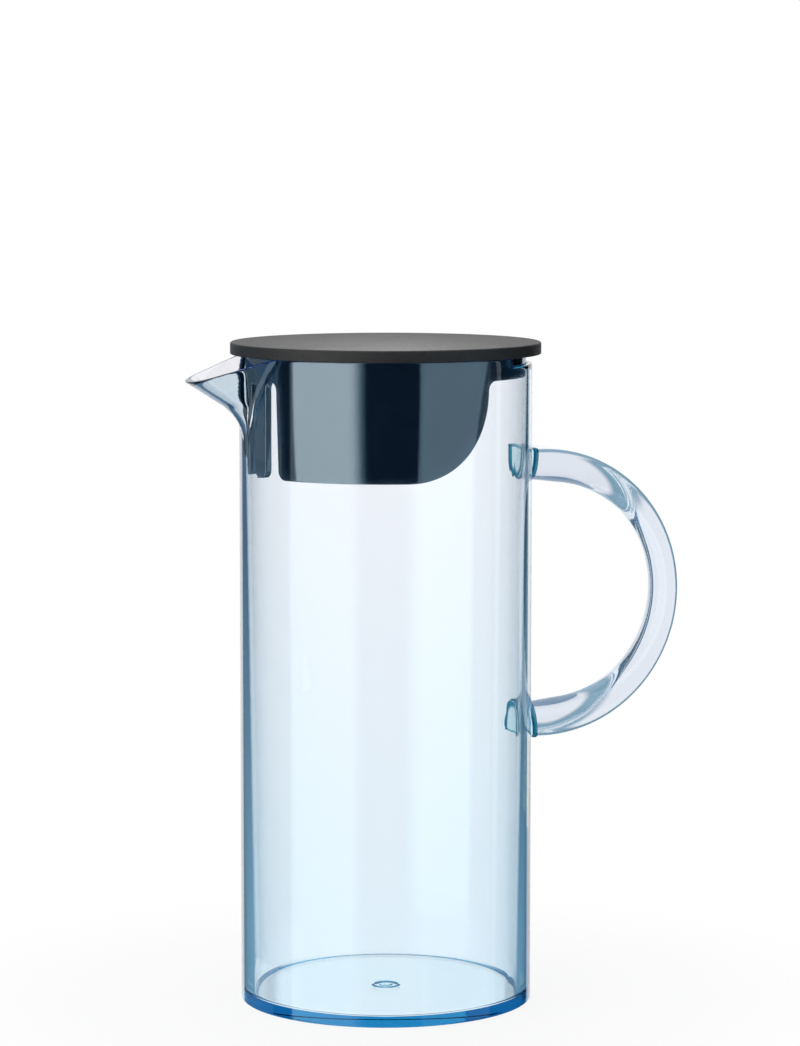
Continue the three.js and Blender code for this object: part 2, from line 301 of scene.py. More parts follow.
def hazy_cement_with_painted_glow():
    """The thin layer between the bonded faces, teal at its rim, with a painted glow that stands in for the
    light carried in the handle.
    """
    material = bpy.data.materials.new("bond_haze_and_glow")
    nodes = Nodes(material)
    place = nodes.object_place()
    cloud = nodes.noise(place, 300, 3)
    level = nodes.size_of(nodes.part_of(place, "Z") - HANDLE_MIDDLE)
    aside = nodes.part_of(place, "Y") * (1 / HANDLE_HALF)
    down = (HANDLE_RADIUS - BAND_EDGE - level) * (1 / (END_THICKNESS - BAND_EDGE))
    out = nodes.root(aside * aside + down * down)
    rim = nodes.ramp(out + 0.1 * cloud, 0.66, 0.8, 0, 1, True)
    colour = nodes.blend(rim, CEMENT_MILK, CEMENT_RIM)
    surface = nodes.node("ShaderNodeBsdfPrincipled", None, {
        "Base Color": colour,
        "Roughness": nodes.ramp(cloud, 0.3, 0.7, 0.4, 0.6),
        "IOR": PLASTIC_IOR,
        # painted glow: the cement's own colours emit light as if lit from inside the handle
        "Emission Color": colour,
        "Emission Strength": CEMENT_PAINTED_GLOW,
    })
    nodes.node("ShaderNodeOutputMaterial", None, {"Surface": surface})
    return material


def textured_black():
    """Black plastic with the fine pebbled skin of a spark-eroded mould."""
    material = bpy.data.materials.new("textured_black_plastic")
    nodes = Nodes(material)
    place = nodes.object_place()
    pebbles = nodes.noise(place, 1100, 2)
    patches = nodes.noise(place, 60, 3)
    shine = nodes.ramp(pebbles, 0.3, 0.7, 0.5, 0.62) + 0.05 * patches
    surface = nodes.node("ShaderNodeBsdfPrincipled", None, {
        "Base Color": nodes.blend(pebbles, (0.006, 0.006, 0.0063, 1), (0.030, 0.030, 0.0305, 1)),
        "Roughness": shine,
        "IOR": COVER_IOR,
        "Normal": nodes.bump(pebbles, 0.8, 0.2 * MM),
    })
    nodes.node("ShaderNodeOutputMaterial", None, {"Surface": surface})
    return material


def gloss_black():
    """Smooth blue-black plastic with faint moulding haze."""
    material = bpy.data.materials.new("gloss_black_plastic")
    nodes = Nodes(material)
    place = nodes.object_place()
    haze = nodes.noise(place, 45, 3)
    surface = nodes.node("ShaderNodeBsdfPrincipled", None, {
        "Base Color": nodes.blend(haze, (0.003, 0.006, 0.012, 1), (0.005, 0.009, 0.016, 1)),
        "Roughness": nodes.ramp(haze, 0.3, 0.7, 0.04, 0.08),
        "IOR": SKIRT_IOR,
        "Specular Tint": SKIRT_SHINE,
    })
    nodes.node("ShaderNodeOutputMaterial", None, {"Surface": surface})
    return material


# Making pieces

def sheet(columns, rows, place):
    """Closed skin over a grid whose points are put in place by their column and row."""
    bm = bmesh.new()
    bmesh.ops.create_grid(bm, x_segments=columns, y_segments=rows, size=1)
    for v in bm.verts:
        column = round((v.co.x + 1) / 2 * columns)
        row = round((v.co.y + 1) / 2 * rows)
        v.co = place(column, row)
    bmesh.ops.remove_doubles(bm, verts=bm.verts, dist=MERGE_DISTANCE)
    bmesh.ops.holes_fill(bm, edges=bm.edges, sides=0)
    bmesh.ops.recalc_face_normals(bm, faces=bm.faces)
    return bm


def turned(profile, steps):
    """Body of revolution about the jug's axis from a profile of radius and height."""
    bm = bmesh.new()
    verts = [bm.verts.new((r, 0, z)) for r, z in profile]
    edges = [bm.edges.new(pair) for pair in zip(verts, verts[1:])]
    bmesh.ops.spin(
        bm, geom=verts + edges, axis=(0, 0, 1), cent=(0, 0, 0), angle=math.tau, steps=steps, use_merge=True
    )
    bmesh.ops.remove_doubles(bm, verts=bm.verts, dist=MERGE_DISTANCE)
    bmesh.ops.recalc_face_normals(bm, faces=bm.faces)
    return bm


def make_object(name, bm):
    mesh = bpy.data.meshes.new(name)
    bm.to_mesh(mesh)
    bm.free()
    mesh.shade_smooth()
    mesh.set_sharp_from_angle(angle=SMOOTH_ANGLE)
    piece = bpy.data.objects.new(name, mesh)
    bpy.context.scene.collection.objects.link(piece)
    return piece


def dress(piece, material, body, node):
    """Gives a piece its finish, ties it to its body and hides the node that it stands for."""
    piece.data.materials.clear()
    piece.data.materials.append(material)
    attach(piece, body)
    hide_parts(node)


def arc(x, y, radius, start, end, steps):
    """Points of an arc from one angle in degrees to another."""
    angles = [math.radians(start + (end - start) * i / steps) for i in range(steps + 1)]
    return [(x + radius * math.cos(a), y + radius * math.sin(a)) for a in angles]


def spread(start, end, steps):
    return [start + (end - start) * i / steps for i in range(steps)]


def around(angle, radius, height):
    """Point at an angle in degrees from the spout towards -Y."""
    turn = math.radians(angle)
    return Vector((-radius * math.cos(turn), -radius * math.sin(turn), height))


def mix(a, b, share):
    return a + (b - a) * share


def smooth_max(a, b, width):
    """The larger of two values, with a fillet of the given width where they meet."""
    if width <= 0:
        return max(a, b)
    overlap = max(width - abs(a - b), 0)
    return max(a, b) + overlap * overlap / (4 * width)


# Jug body

KEEL_ROOT = BODY_RADIUS - RIM_EDGE
KEEL_FALL = math.tan(KEEL_SLOPE)
FOOT_DEPTH = (
    TIP_DROP
    + (TIP_REACH - KEEL_ROOT) * KEEL_FALL
    + KEEL_BEND * math.tan((math.pi / 2 - KEEL_SLOPE) / 2)
)
BEND_START = FOOT_DEPTH - KEEL_BEND * math.cos(KEEL_SLOPE)


def keel_reach(depth):
    """Reach of the keel at a depth under the rim: straight, then bent down into the wall."""
    if depth <= BEND_START:
        return TIP_REACH - (depth - TIP_DROP) / KEEL_FALL
    if depth <= FOOT_DEPTH:
        return KEEL_ROOT + KEEL_BEND - math.sqrt(KEEL_BEND**2 - (FOOT_DEPTH - depth) ** 2)
    return KEEL_ROOT - (depth - FOOT_DEPTH)


def keel_run(depth):
    """How fast the keel draws back with depth."""
    if depth <= BEND_START:
        return 1 / KEEL_FALL
    left = max(FOOT_DEPTH - depth, 0)
    return left / math.sqrt(KEEL_BEND**2 - left**2)


def foot_share(depth):
    """How far a depth lies from the keel's foot, 1 at the level of the tip."""
    return (FOOT_DEPTH - depth) / (FOOT_DEPTH - TIP_DROP)


def beak_radius(turn, depth, keel_wall, side_wall):
    """Reach of the beak's outline in a level cut, or of its channel when walls are given."""
    if abs(turn) > BEAK_LIMIT:
        return 0
    nose = max(mix(FOOT_RADIUS, NOSE_RADIUS, foot_share(depth)) - side_wall, LEAST_NOSE)
    centre = keel_reach(depth) - keel_wall - nose
    side, straight = math.sin(BEAK_HALF_ANGLE), math.cos(BEAK_HALF_ANGLE)
    if abs(turn) <= math.atan2(nose * straight, centre + nose * side):
        return centre * math.cos(turn) + math.sqrt(max(nose**2 - (centre * math.sin(turn)) ** 2, 0))
    return (centre * side + nose) / math.sin(abs(turn) + BEAK_HALF_ANGLE)


def cavity_radius(height):
    share = (RIM - height) / (RIM - FLOOR_THICKNESS)
    return BODY_RADIUS - mix(RIM_WALL, BASE_WALL, share)


def outer_radius(turn, height):
    depth = RIM - height
    fillet = ROOT_FILLET * math.sqrt(min(max(foot_share(depth), 0), 1))
    return smooth_max(BODY_RADIUS, beak_radius(turn, depth, 0, 0), fillet)


def inner_radius(turn, height):
    depth = RIM - height
    channel = beak_radius(turn, depth, SPOUT_WALL * math.hypot(1, keel_run(depth)), SPOUT_WALL)
    return smooth_max(cavity_radius(height), channel, CHANNEL_FILLET)


RIM_NOSE = mix(FOOT_RADIUS, NOSE_RADIUS, foot_share(0))
RIM_CENTRE = TIP_REACH + TIP_DROP / KEEL_FALL - RIM_NOSE
RIM_SIDE = RIM_CENTRE * math.sin(BEAK_HALF_ANGLE) + RIM_NOSE
ROOT_REACH = BODY_RADIUS * math.cos(math.asin(RIM_SIDE / BODY_RADIUS) - BEAK_HALF_ANGLE)
EDGE_FALL = TIP_DROP / (TIP_REACH - ROOT_REACH)


def top_edge(turn, radius_at):
    """Height where a wall meets the slanted edge of the spout or the rim, by halving."""
    low, high = SPOUT_ZONE, RIM
    for _ in range(40):
        middle = (low + high) / 2
        reach = radius_at(turn, middle) * math.cos(turn)
        edge = RIM - EDGE_FALL * max(reach - ROOT_REACH, 0)
        low, high = (middle, high) if middle < edge else (low, middle)
    from_handle = 180 - abs(math.degrees(turn))
    step = min(max((DIP_HALF_ANGLE - from_handle) / DIP_CORNER, 0), 1)
    return high - DIP_DEPTH * step * step * (3 - 2 * step)


def column_turns():
    """Angles round the jug in degrees, close together at the spout and at the ends of the dip."""
    dip = 180 - DIP_HALF_ANGLE
    half = (
        spread(0, SPOUT_COLUMNS_END, 76)
        + spread(SPOUT_COLUMNS_END, dip - 1, 45)
        + spread(dip - 1, dip + 2, 15)
        + spread(dip + 2, 180, 24)
    )
    return [-180] + [-a for a in reversed(half[1:])] + half + [180]


def jug_profile():
    """Half section of the jug without spout, from the middle of the underside to the floor."""
    thick = END_THICKNESS + LEVEL_MARGIN
    steps = int(thick / LEVEL_STEP)
    levels = [HANDLE_LOW.z - LEVEL_MARGIN + LEVEL_STEP * i for i in range(steps + 2)]
    levels += [HANDLE_HIGH.z - thick + LEVEL_STEP * i for i in range(steps - 4)]
    levels = [z for z in levels if z < SPOUT_ZONE - MM]
    top = spread(SPOUT_ZONE, RIM - RIM_EDGE, 40)
    outer = levels + top
    rim_inner = BODY_RADIUS - RIM_WALL
    lip = (
        arc(BODY_RADIUS - RIM_EDGE, RIM - RIM_EDGE, RIM_EDGE, 0, 90, 4)
        + arc(rim_inner + RIM_EDGE, RIM - RIM_EDGE, RIM_EDGE, 90, 180, 4)
    )
    inner = [(cavity_radius(z), z) for z in reversed(top[:-1])]
    floor_radius = BODY_RADIUS - BASE_WALL - FLOOR_CORNER
    corner_top = FLOOR_THICKNESS + FLOOR_CORNER
    corner = arc(floor_radius, corner_top, FLOOR_CORNER, 0, -90, 12)
    corner_hold = (cavity_radius(corner_top + FLAT_HOLD), corner_top + FLAT_HOLD)
    floor_holds = [
        (floor_radius - FLAT_HOLD, FLOOR_THICKNESS),
        (MARK_RING_RADIUS + MARK_RING_HALF + FLAT_HOLD, FLOOR_THICKNESS),
    ]
    ring = [
        (MARK_RING_RADIUS + x * MARK_RING_HALF, FLOOR_THICKNESS + MARK_HEIGHT * (1 - x * x) ** 2)
        for x in (1, 0.66, 0.33, 0, -0.33, -0.66, -1)
    ]
    dome = [
        (MARK_DOME_RADIUS * x, FLOOR_THICKNESS + MARK_HEIGHT * math.sqrt(1 - x * x))
        for x in (1, 0.97, 0.88, 0.7, 0.4, 0)
    ]
    return (
        [(0, 0), (BODY_RADIUS - BASE_EDGE - FLAT_HOLD, 0)]
        + arc(BODY_RADIUS - BASE_EDGE, BASE_EDGE, BASE_EDGE, -90, 0, 8)
        + [(BODY_RADIUS, BASE_EDGE + FLAT_HOLD)]
        + [(BODY_RADIUS, z) for z in outer]
        + lip
        + inner
        + [corner_hold]
        + corner
        + floor_holds
        + ring
        + dome
    )


def jug_wall():
    """The wall, floor and spout in one skin."""
    turns = column_turns()
    profile = jug_profile()
    outer_tops = [top_edge(math.radians(a), outer_radius) for a in turns]
    inner_tops = [top_edge(math.radians(a), inner_radius) for a in turns]

    def place(column, row):
        radius, height = profile[row]
        turn = turns[column]
        if height <= SPOUT_ZONE:
            return around(turn, radius, height)
        level = (height - SPOUT_ZONE) / (RIM - SPOUT_ZONE)
        across = (BODY_RADIUS - radius) / (BODY_RADIUS - cavity_radius(height))
        outer_height = mix(SPOUT_ZONE, outer_tops[column], level)
        inner_height = mix(SPOUT_ZONE, inner_tops[column], level)
        outer = outer_radius(math.radians(turn), outer_height)
        inner = inner_radius(math.radians(turn), inner_height)
        return around(turn, mix(outer, inner, across), mix(outer_height, inner_height, across))

    return sheet(len(turns) - 1, len(profile) - 1, place)


# Handle

GRIP_RADIUS = HANDLE_RADIUS - END_THICKNESS
GRIP_SHIFT = END_THICKNESS - MIDDLE_THICKNESS


def band_section(half_width, thickness):
    """D-shaped outline: a flat band with rounded edges outside, and a round finger side."""
    flat = half_width - BAND_EDGE
    near = arc(flat, BAND_EDGE, BAND_EDGE, -90, 0, 5)
    far = arc(-flat, BAND_EDGE, BAND_EDGE, 180, 270, 5)
    finger = [
        (x * half_width, BAND_EDGE + y * (thickness - BAND_EDGE)) for x, y in arc(0, 0, 1, 0, 180, 40)[1:-1]
    ]
    return spread(-flat, flat, 6)[1:], near, finger, far


def band_ring(outside, inside, growth=0):
    """The outline put between an outer and a finger-side point of the handle's upright plane."""
    line = inside - outside
    inward = line.normalized()
    start = outside - inward * growth
    flat, near, finger, far = band_section(HANDLE_HALF + growth, line.length + 2 * growth)
    outline = [(y, 0) for y in flat] + near + finger + far
    points = [(start + inward * d, y) for y, d in outline]
    return [Vector((p.x, y, p.y)) for p, y in points]


def handle_line(share):
    """Outer and finger-side points of the curved part, at a share of the way from its top."""
    outer = math.pi * (0.5 - share)
    inner = (math.pi / 2 - GRIP_TAPER) * (1 - 2 * share)
    middle = Vector((ARC_REACH, HANDLE_MIDDLE))
    outside = middle + HANDLE_RADIUS * Vector((math.cos(outer), math.sin(outer)))
    inside = middle + GRIP_RADIUS * Vector((math.cos(inner), math.sin(inner)))
    return outside, inside + Vector((GRIP_SHIFT, 0))


def end_line(share, reach):
    """The same points where the handle runs straight towards its joint."""
    outside, inside = handle_line(share)
    outward = math.copysign(1, outside.y - inside.y)
    taper = (inside.x - reach) * math.tan(GRIP_TAPER)
    return Vector((reach, outside.y)), Vector((reach, inside.y + outward * taper))


def skin(rings):
    count = len(rings[0])
    return sheet(len(rings) - 1, count, lambda column, row: rings[column][row % count])


def handle_bar():
    def straight(share):
        start, end = end_line(share, JOINT_REACH), handle_line(share)
        steps = [i / 8 for i in range(8)]
        return [band_ring(start[0].lerp(end[0], s), start[1].lerp(end[1], s)) for s in steps]

    curved = [band_ring(*handle_line(i / 160)) for i in range(161)]
    return skin(straight(0) + curved + straight(1)[::-1])


def handle_bond(share):
    reaches = (BOND_LOW.x - BOND_OVERLAP, BOND_HIGH.x + BOND_OVERLAP)
    return skin([band_ring(*end_line(share, reach)) for reach in reaches])


def bond_bead(share):
    """The ring of cement squeezed out round the joint."""
    middle = (BOND_LOW.x + BOND_HIGH.x) / 2
    return skin([
        band_ring(*end_line(share, middle + BEAD_HALF_LENGTH * x), BEAD_HEIGHT * y)
        for x, y in arc(0, 0, 1, 0, 360, 20)
    ])


def handle_boss(share):
    edge = math.sqrt(BODY_RADIUS**2 - HANDLE_HALF**2)
    fillet = arc(edge + BOSS_FILLET, BOSS_FILLET, BOSS_FILLET, 180, 270, 6)
    rings = [band_ring(*end_line(share, BOSS_ROOT), BOSS_FILLET)]
    rings += [band_ring(*end_line(share, reach), growth) for reach, growth in fillet]
    rings += [band_ring(*end_line(share, BOND_LOW.x))]
    return skin(rings)


def join_bosses(jug):
    """Melts the two bosses into the jug's wall."""
    bosses = [make_object(f"boss_{share}", handle_boss(share)) for share in (0, 1)]
    for boss in bosses:
        union = jug.modifiers.new(boss.name, "BOOLEAN")
        union.operation = "UNION"
        union.solver = "EXACT"
        union.object = boss
    ready = jug.evaluated_get(bpy.context.evaluated_depsgraph_get())
    jug.data = bpy.data.meshes.new_from_object(ready)
    jug.modifiers.clear()
    for boss in bosses:
        bpy.data.objects.remove(boss)
    jug.data.shade_smooth()
    jug.data.set_sharp_from_angle(angle=SMOOTH_ANGLE)


# Lid

def lid_cover():
    radius = COVER_HIGH.y
    top = COVER_HIGH.z
    lip_bottom = COVER_LOW.z
    lip_top = lip_bottom + SNAP_LIP_HEIGHT
    low_edge = COVER_EDGE / 2
    return turned(
        [(0, LID_BOTTOM), (SNAP_RADIUS - SNAP_WALL, LID_BOTTOM), (SNAP_RADIUS - SNAP_WALL, lip_bottom)]
        + [(SNAP_RADIUS, lip_bottom), (SNAP_RADIUS + SNAP_LIP, lip_top), (SNAP_RADIUS, lip_top)]
        + [(SNAP_RADIUS, LID_BOTTOM)]
        + arc(radius - low_edge, LID_BOTTOM + low_edge, low_edge, -90, 0, 5)
        + arc(radius - COVER_EDGE, top - COVER_EDGE, COVER_EDGE, 0, 90, 8)
        + [(0, top)],
        COVER_STEPS,
    )


def skirt_outline():
    """The skirt rolled out flat: length along the ring and height, counted from the spout."""
    top, bottom = SKIRT_HIGH.z, SKIRT_LOW.z
    short = RIM - SHORT_DEPTH
    corner_height = short - SKIRT_FILLET - bottom

    def along(angle):
        return math.radians(angle) * SKIRT_TOP_RADIUS

    def cut_end(end, sign, width):
        corner = [
            (end + sign * (x - 1) * width, bottom + (1 + y) * corner_height)
            for x, y in arc(0, 0, 1, 270, 360, 24)
        ]
        fillet = [
            (end + sign * x, y) for x, y in arc(SKIRT_FILLET, short - SKIRT_FILLET, SKIRT_FILLET, 180, 90, 10)
        ]
        return corner + fillet[1:]

    def slot(angle, width):
        middle = along(angle)
        half = width / 2
        corner = (width + SLOT_SPREAD) / 2 + SLOT_CORNER
        left = arc(middle - corner, bottom + SLOT_CORNER, SLOT_CORNER, 270, 360, 10)
        round_top = arc(middle, RIM - SLOT_TOP_DEPTH - half, half, 180, 0, 20)
        right = arc(middle + corner, bottom + SLOT_CORNER, SLOT_CORNER, 180, 270, 10)
        return left + round_top + right

    post = cut_end(along(POST_END), -1, POST_CORNER)[::-1]
    slots = slot(-SLOT_PITCH, SLOT_TOP) + slot(0, MIDDLE_SLOT) + slot(SLOT_PITCH, SLOT_TOP)
    closed = cut_end(along(CLOSED_END), 1, corner_height)
    seam = along(SKIRT_SEAM)
    ring = math.tau * SKIRT_TOP_RADIUS
    ends = [(seam + ring, short), (seam + ring, top), (seam, top), (seam, short)]
    return post + slots + closed + ends


def lid_skirt():
    """The outline cut into narrow strips, rolled up, thickened inwards and broken at its edges."""
    bm = bmesh.new()
    bm.faces.new([bm.verts.new((x, 0, z)) for x, z in skirt_outline()])
    for i in range(-90, 180):
        cut = math.radians(STRIP_ANGLE * i + STRIP_SHIFT) * SKIRT_TOP_RADIUS
        bmesh.ops.bisect_plane(
            bm, geom=bm.verts[:] + bm.edges[:] + bm.faces[:], plane_co=(cut, 0, 0), plane_no=(1, 0, 0)
        )
    top, bottom = SKIRT_HIGH.z, SKIRT_LOW.z
    for v in bm.verts:
        angle = math.degrees(v.co.x / SKIRT_TOP_RADIUS) + LID_TURN
        draft = SKIRT_DRAFT * (top - v.co.z) / (top - bottom)
        v.co = around(angle, SKIRT_TOP_RADIUS - draft, v.co.z)
    bmesh.ops.remove_doubles(bm, verts=bm.verts, dist=MERGE_DISTANCE)
    bmesh.ops.recalc_face_normals(bm, faces=bm.faces)
    sample = bm.faces[:][0]
    if sample.normal.dot(sample.calc_center_median() * Vector((1, 1, 0))) < 0:
        bmesh.ops.reverse_faces(bm, faces=bm.faces)
    bmesh.ops.solidify(bm, geom=bm.faces[:], thickness=SKIRT_WALL)
    bm.normal_update()
    rims = [e for e in bm.edges if len(e.link_faces) == 2 and e.calc_face_angle() > SKIRT_RIM_ANGLE]
    bmesh.ops.bevel(
        bm, geom=rims, offset=SKIRT_EDGE, affect="EDGES", segments=3, profile=0.5, material=-1
    )
    return bm


def lid_flange():
    outer = SKIRT_TOP_RADIUS - SKIRT_WALL + FLANGE_SINK
    top = SKIRT_HIGH.z
    low = top - FLANGE_THICKNESS
    corners = [(FLANGE_INNER, low), (outer, low), (outer, top), (FLANGE_INNER, top), (FLANGE_INNER, low)]
    return turned(corners, FLANGE_STEPS)


# The object

SOAK_BLUE = (0.024, 0.667, 0.852, 1)
SOAK_TEAL = (0.03, 0.68, 0.76, 1)
CLEAR = (1, 1, 1, 1)
PALE = (0.79, 0.87, 0.91, 1)
TEAL = (0.09, 0.33, 0.42, 1)
# painted shade: deeper colour laid on the front side of the spout
SPOUT_PAINTED_SHADE = (0.68, 0.77, 0.81, 1)
# painted shade: dark blue laid along the edges of the handle's band
BAND_PAINTED_SHADE = (0.06, 0.17, 0.25, 1)
STREAK_TINT = (0.06, 0.26, 0.35, 1)
BODY_DENSITY = 42
HANDLE_DENSITY = 2
BEAD_DENSITY = 120

clear_blue = clear_plastic("clear_blue_plastic", SOAK_BLUE, BODY_DENSITY, CLEAR, spout_painted_shade_share, SPOUT_PAINTED_SHADE)
pale_blue = clear_plastic("pale_blue_plastic", SOAK_BLUE, HANDLE_DENSITY, PALE, band_edge_painted_shade_share, BAND_PAINTED_SHADE)
bond_teal = clear_plastic("bond_line", SOAK_TEAL, BEAD_DENSITY, TEAL, streak_share, STREAK_TINT)
bond_haze_and_glow = hazy_cement_with_painted_glow()
cover_black = textured_black()
skirt_black = gloss_black()

jug = make_object("clear_jug_body", jug_wall())
join_bosses(jug)
dress(jug, clear_blue, "jug", "jug_body")

handle = make_object("clear_handle", handle_bar())
dress(handle, pale_blue, "jug", "handle")

for share, place in ((0, "upper"), (1, "lower")):
    bond = make_object(f"{place}_bond_line", handle_bond(share))
    dress(bond, bond_haze_and_glow, "jug", f"{place}_handle_bond")
    bead = make_object(f"{place}_bond_bead", bond_bead(share))
    dress(bead, bond_teal, "jug", f"{place}_handle_bond")

cover = make_object("textured_lid_cover", lid_cover())
dress(cover, cover_black, "lid", "lid_cover")

skirt = make_object("strainer_skirt", lid_skirt())
dress(skirt, skirt_black, "strainer", "lid_skirt")
flange = make_object("strainer_flange", lid_flange())
dress(flange, skirt_black, "strainer", "lid_skirt")


# Stage

FLOOR_RADIUS = 0.45
FLOOR_GAP = 0.1 * MM
# painted shade: colours of the cards that lay blue shade into the clear plastic
DEEP_SHADE_BLUE = (0.04, 0.10, 0.20, 1)
SOFT_SHADE_BLUE = (0.24, 0.40, 0.53, 1)
LINE_SHADE_BLUE = (0.02, 0.075, 0.14, 1)
KEEL_SHADE_BLUE = (0.12, 0.21, 0.33, 1)
BASE_SHADE_BLUE = (0.26, 0.46, 0.7, 1)
WHITE = (1, 1, 1, 1)
FLOOR_WHITE = (0.85, 0.85, 0.86, 1)
NEAR_RADIUS = 0.06
FAR_RADIUS = 0.2
NEAR_GLOW = 0.88
FADE_LOW = 20 * MM
FADE_HIGH = 160 * MM
CARD_RADIUS = 60 * MM
LINE_CARD_RADIUS = 56 * MM
SPOUT_CARD_RADIUS = 90 * MM
CARD_STEPS = 96
UNDER_BASE = -5 * MM
OVER_BASE = 12 * MM
SPOUT_FOOT = 186 * MM
CARD_TOP = 225 * MM
SPOUT_CARD_TOP = 350 * MM
BASE_CARD_END = 400 * MM
BASE_CARD_DEPTH = 90 * MM
BASE_CARD_LOW = -30 * MM
BASE_CARD_TOP = 35 * MM
BASE_GAP_LEFT = -12 * MM
BASE_GAP_RIGHT = 17 * MM

# Light: levels of the studio and the lamp behind the lid
DIM_BLUE = (0.5, 0.78, 1, 1)
GUIDED_BLUE = (0.5, 0.7, 1, 1)
ROSE_WHITE = (1, 0.955, 1, 1)
DARK_LEVEL = 0.006
LEFT_BOX_LEVEL = 1.3
RIGHT_BOX_LEVEL = 0.47
LEFT_SIDE_LEVEL = 0.28
SWEEP_LEVEL = 1.05
OVERHEAD_LEVEL = 1.2
OVERHEAD_START = math.sin(math.radians(35))
OVERHEAD_END = math.sin(math.radians(55))
GUIDED_SIDE_LEVEL = 0.4
GUIDED_BACK_LEVEL = 1.06
FAR_WALL_LEVEL = 1.17
LAMP_POWER = 2.4
LAMP_SPREAD = math.radians(8)
LAMP_SIZE = 30 * MM
LAMP_DISTANCE = 600 * MM
LAMP_HEIGHT = 550 * MM
LAMP_AIM = 1.6
BOUNCES = 40
ALL_BOUNCES = 48

# Directions on the stage: angles count in degrees from the camera's side, positive to its right
TOWARDS_CAMERA = Vector((-math.sin(CAMERA_TURN), -math.cos(CAMERA_TURN), 0))
TO_THE_RIGHT = Vector((math.cos(CAMERA_TURN), -math.sin(CAMERA_TURN), 0))


def guided_share(nodes):
    """1 for a ray that was mirrored inside one clear piece, or more than once."""
    mirrored = nodes.node("ShaderNodeLightPath", output="Glossy Depth")
    passed = nodes.node("ShaderNodeLightPath", output="Transmission Depth")
    inside = nodes.ramp(passed, 0, 1, 0, 1) * nodes.ramp(passed, 2, 3, 1, 0)
    again = nodes.ramp(mirrored, 1, 2, 0, 1)
    return again + (1 - again) * inside * nodes.ramp(mirrored, 0, 1, 0, 1)


def white_floor():
    bm = bmesh.new()
    bmesh.ops.create_circle(bm, cap_ends=True, radius=FLOOR_RADIUS, segments=96)
    bmesh.ops.translate(bm, verts=bm.verts, vec=(0, 0, -FLOOR_GAP))
    floor = make_object("floor", bm)
    material = bpy.data.materials.new("white_floor")
    nodes = Nodes(material)
    matt = nodes.node("ShaderNodeBsdfDiffuse", None, {"Color": FLOOR_WHITE})
    glow = nodes.node("ShaderNodeEmission", None, {"Color": WHITE, "Strength": 1})
    seen = nodes.node("ShaderNodeLightPath", output="Is Camera Ray")
    away = nodes.node("ShaderNodeVectorMath", {"operation": "LENGTH"}, {0: nodes.object_place()}, "Value")
    share = seen * nodes.ramp(away, NEAR_RADIUS, FAR_RADIUS, NEAR_GLOW, 1, True)
    surface = nodes.node("ShaderNodeMixShader", None, {0: share, 1: matt, 2: glow})
    nodes.node("ShaderNodeOutputMaterial", None, {"Surface": surface})
    floor.data.materials.append(material)
    floor.visible_glossy = False
    floor.visible_transmission = False


def painted_shade_card(name, bm, low_colour, high_colour):
    """Card of painted shade: it only shows as a blue edge in the clear plastic close to it."""
    card = make_object(name, bm)
    material = bpy.data.materials.new(name)
    nodes = Nodes(material)
    clear = nodes.node("ShaderNodeBsdfTransparent")
    height = nodes.part_of(nodes.object_place(), "Z")
    colour = nodes.blend(nodes.ramp(height, FADE_LOW, FADE_HIGH, 0, 1), low_colour, high_colour)
    blue = nodes.node("ShaderNodeEmission", None, {"Color": colour, "Strength": 1})
    surface = nodes.node("ShaderNodeMixShader", None, {0: guided_share(nodes), 1: clear, 2: blue})
    nodes.node("ShaderNodeOutputMaterial", None, {"Surface": surface})
    card.data.materials.append(material)


def flat_card(left, right):
    """Upright card behind the jug's base, by its ends from the middle of the picture."""
    bm = bmesh.new()
    bmesh.ops.create_grid(bm, x_segments=1, y_segments=1, size=1)
    for v in bm.verts:
        across = mix(left, right, (v.co.x + 1) / 2)
        height = mix(BASE_CARD_LOW, BASE_CARD_TOP, (v.co.y + 1) / 2)
        v.co = across * TO_THE_RIGHT - BASE_CARD_DEPTH * TOWARDS_CAMERA + Vector((0, 0, height))
    return bm


def collar(radius, start, end, low, high):
    """Round card about the jug's axis, from one angle to another as the camera sees it."""
    bm = bmesh.new()
    turn = math.radians(start)
    out = radius * (math.cos(turn) * TOWARDS_CAMERA + math.sin(turn) * TO_THE_RIGHT)
    verts = [bm.verts.new((out.x, out.y, z)) for z in (low, high)]
    edge = bm.edges.new(verts)
    sweep = math.radians(end - start)
    bmesh.ops.spin(
        bm, geom=verts + [edge], axis=(0, 0, 1), cent=(0, 0, 0), angle=sweep, steps=CARD_STEPS
    )
    return bm


# Studio

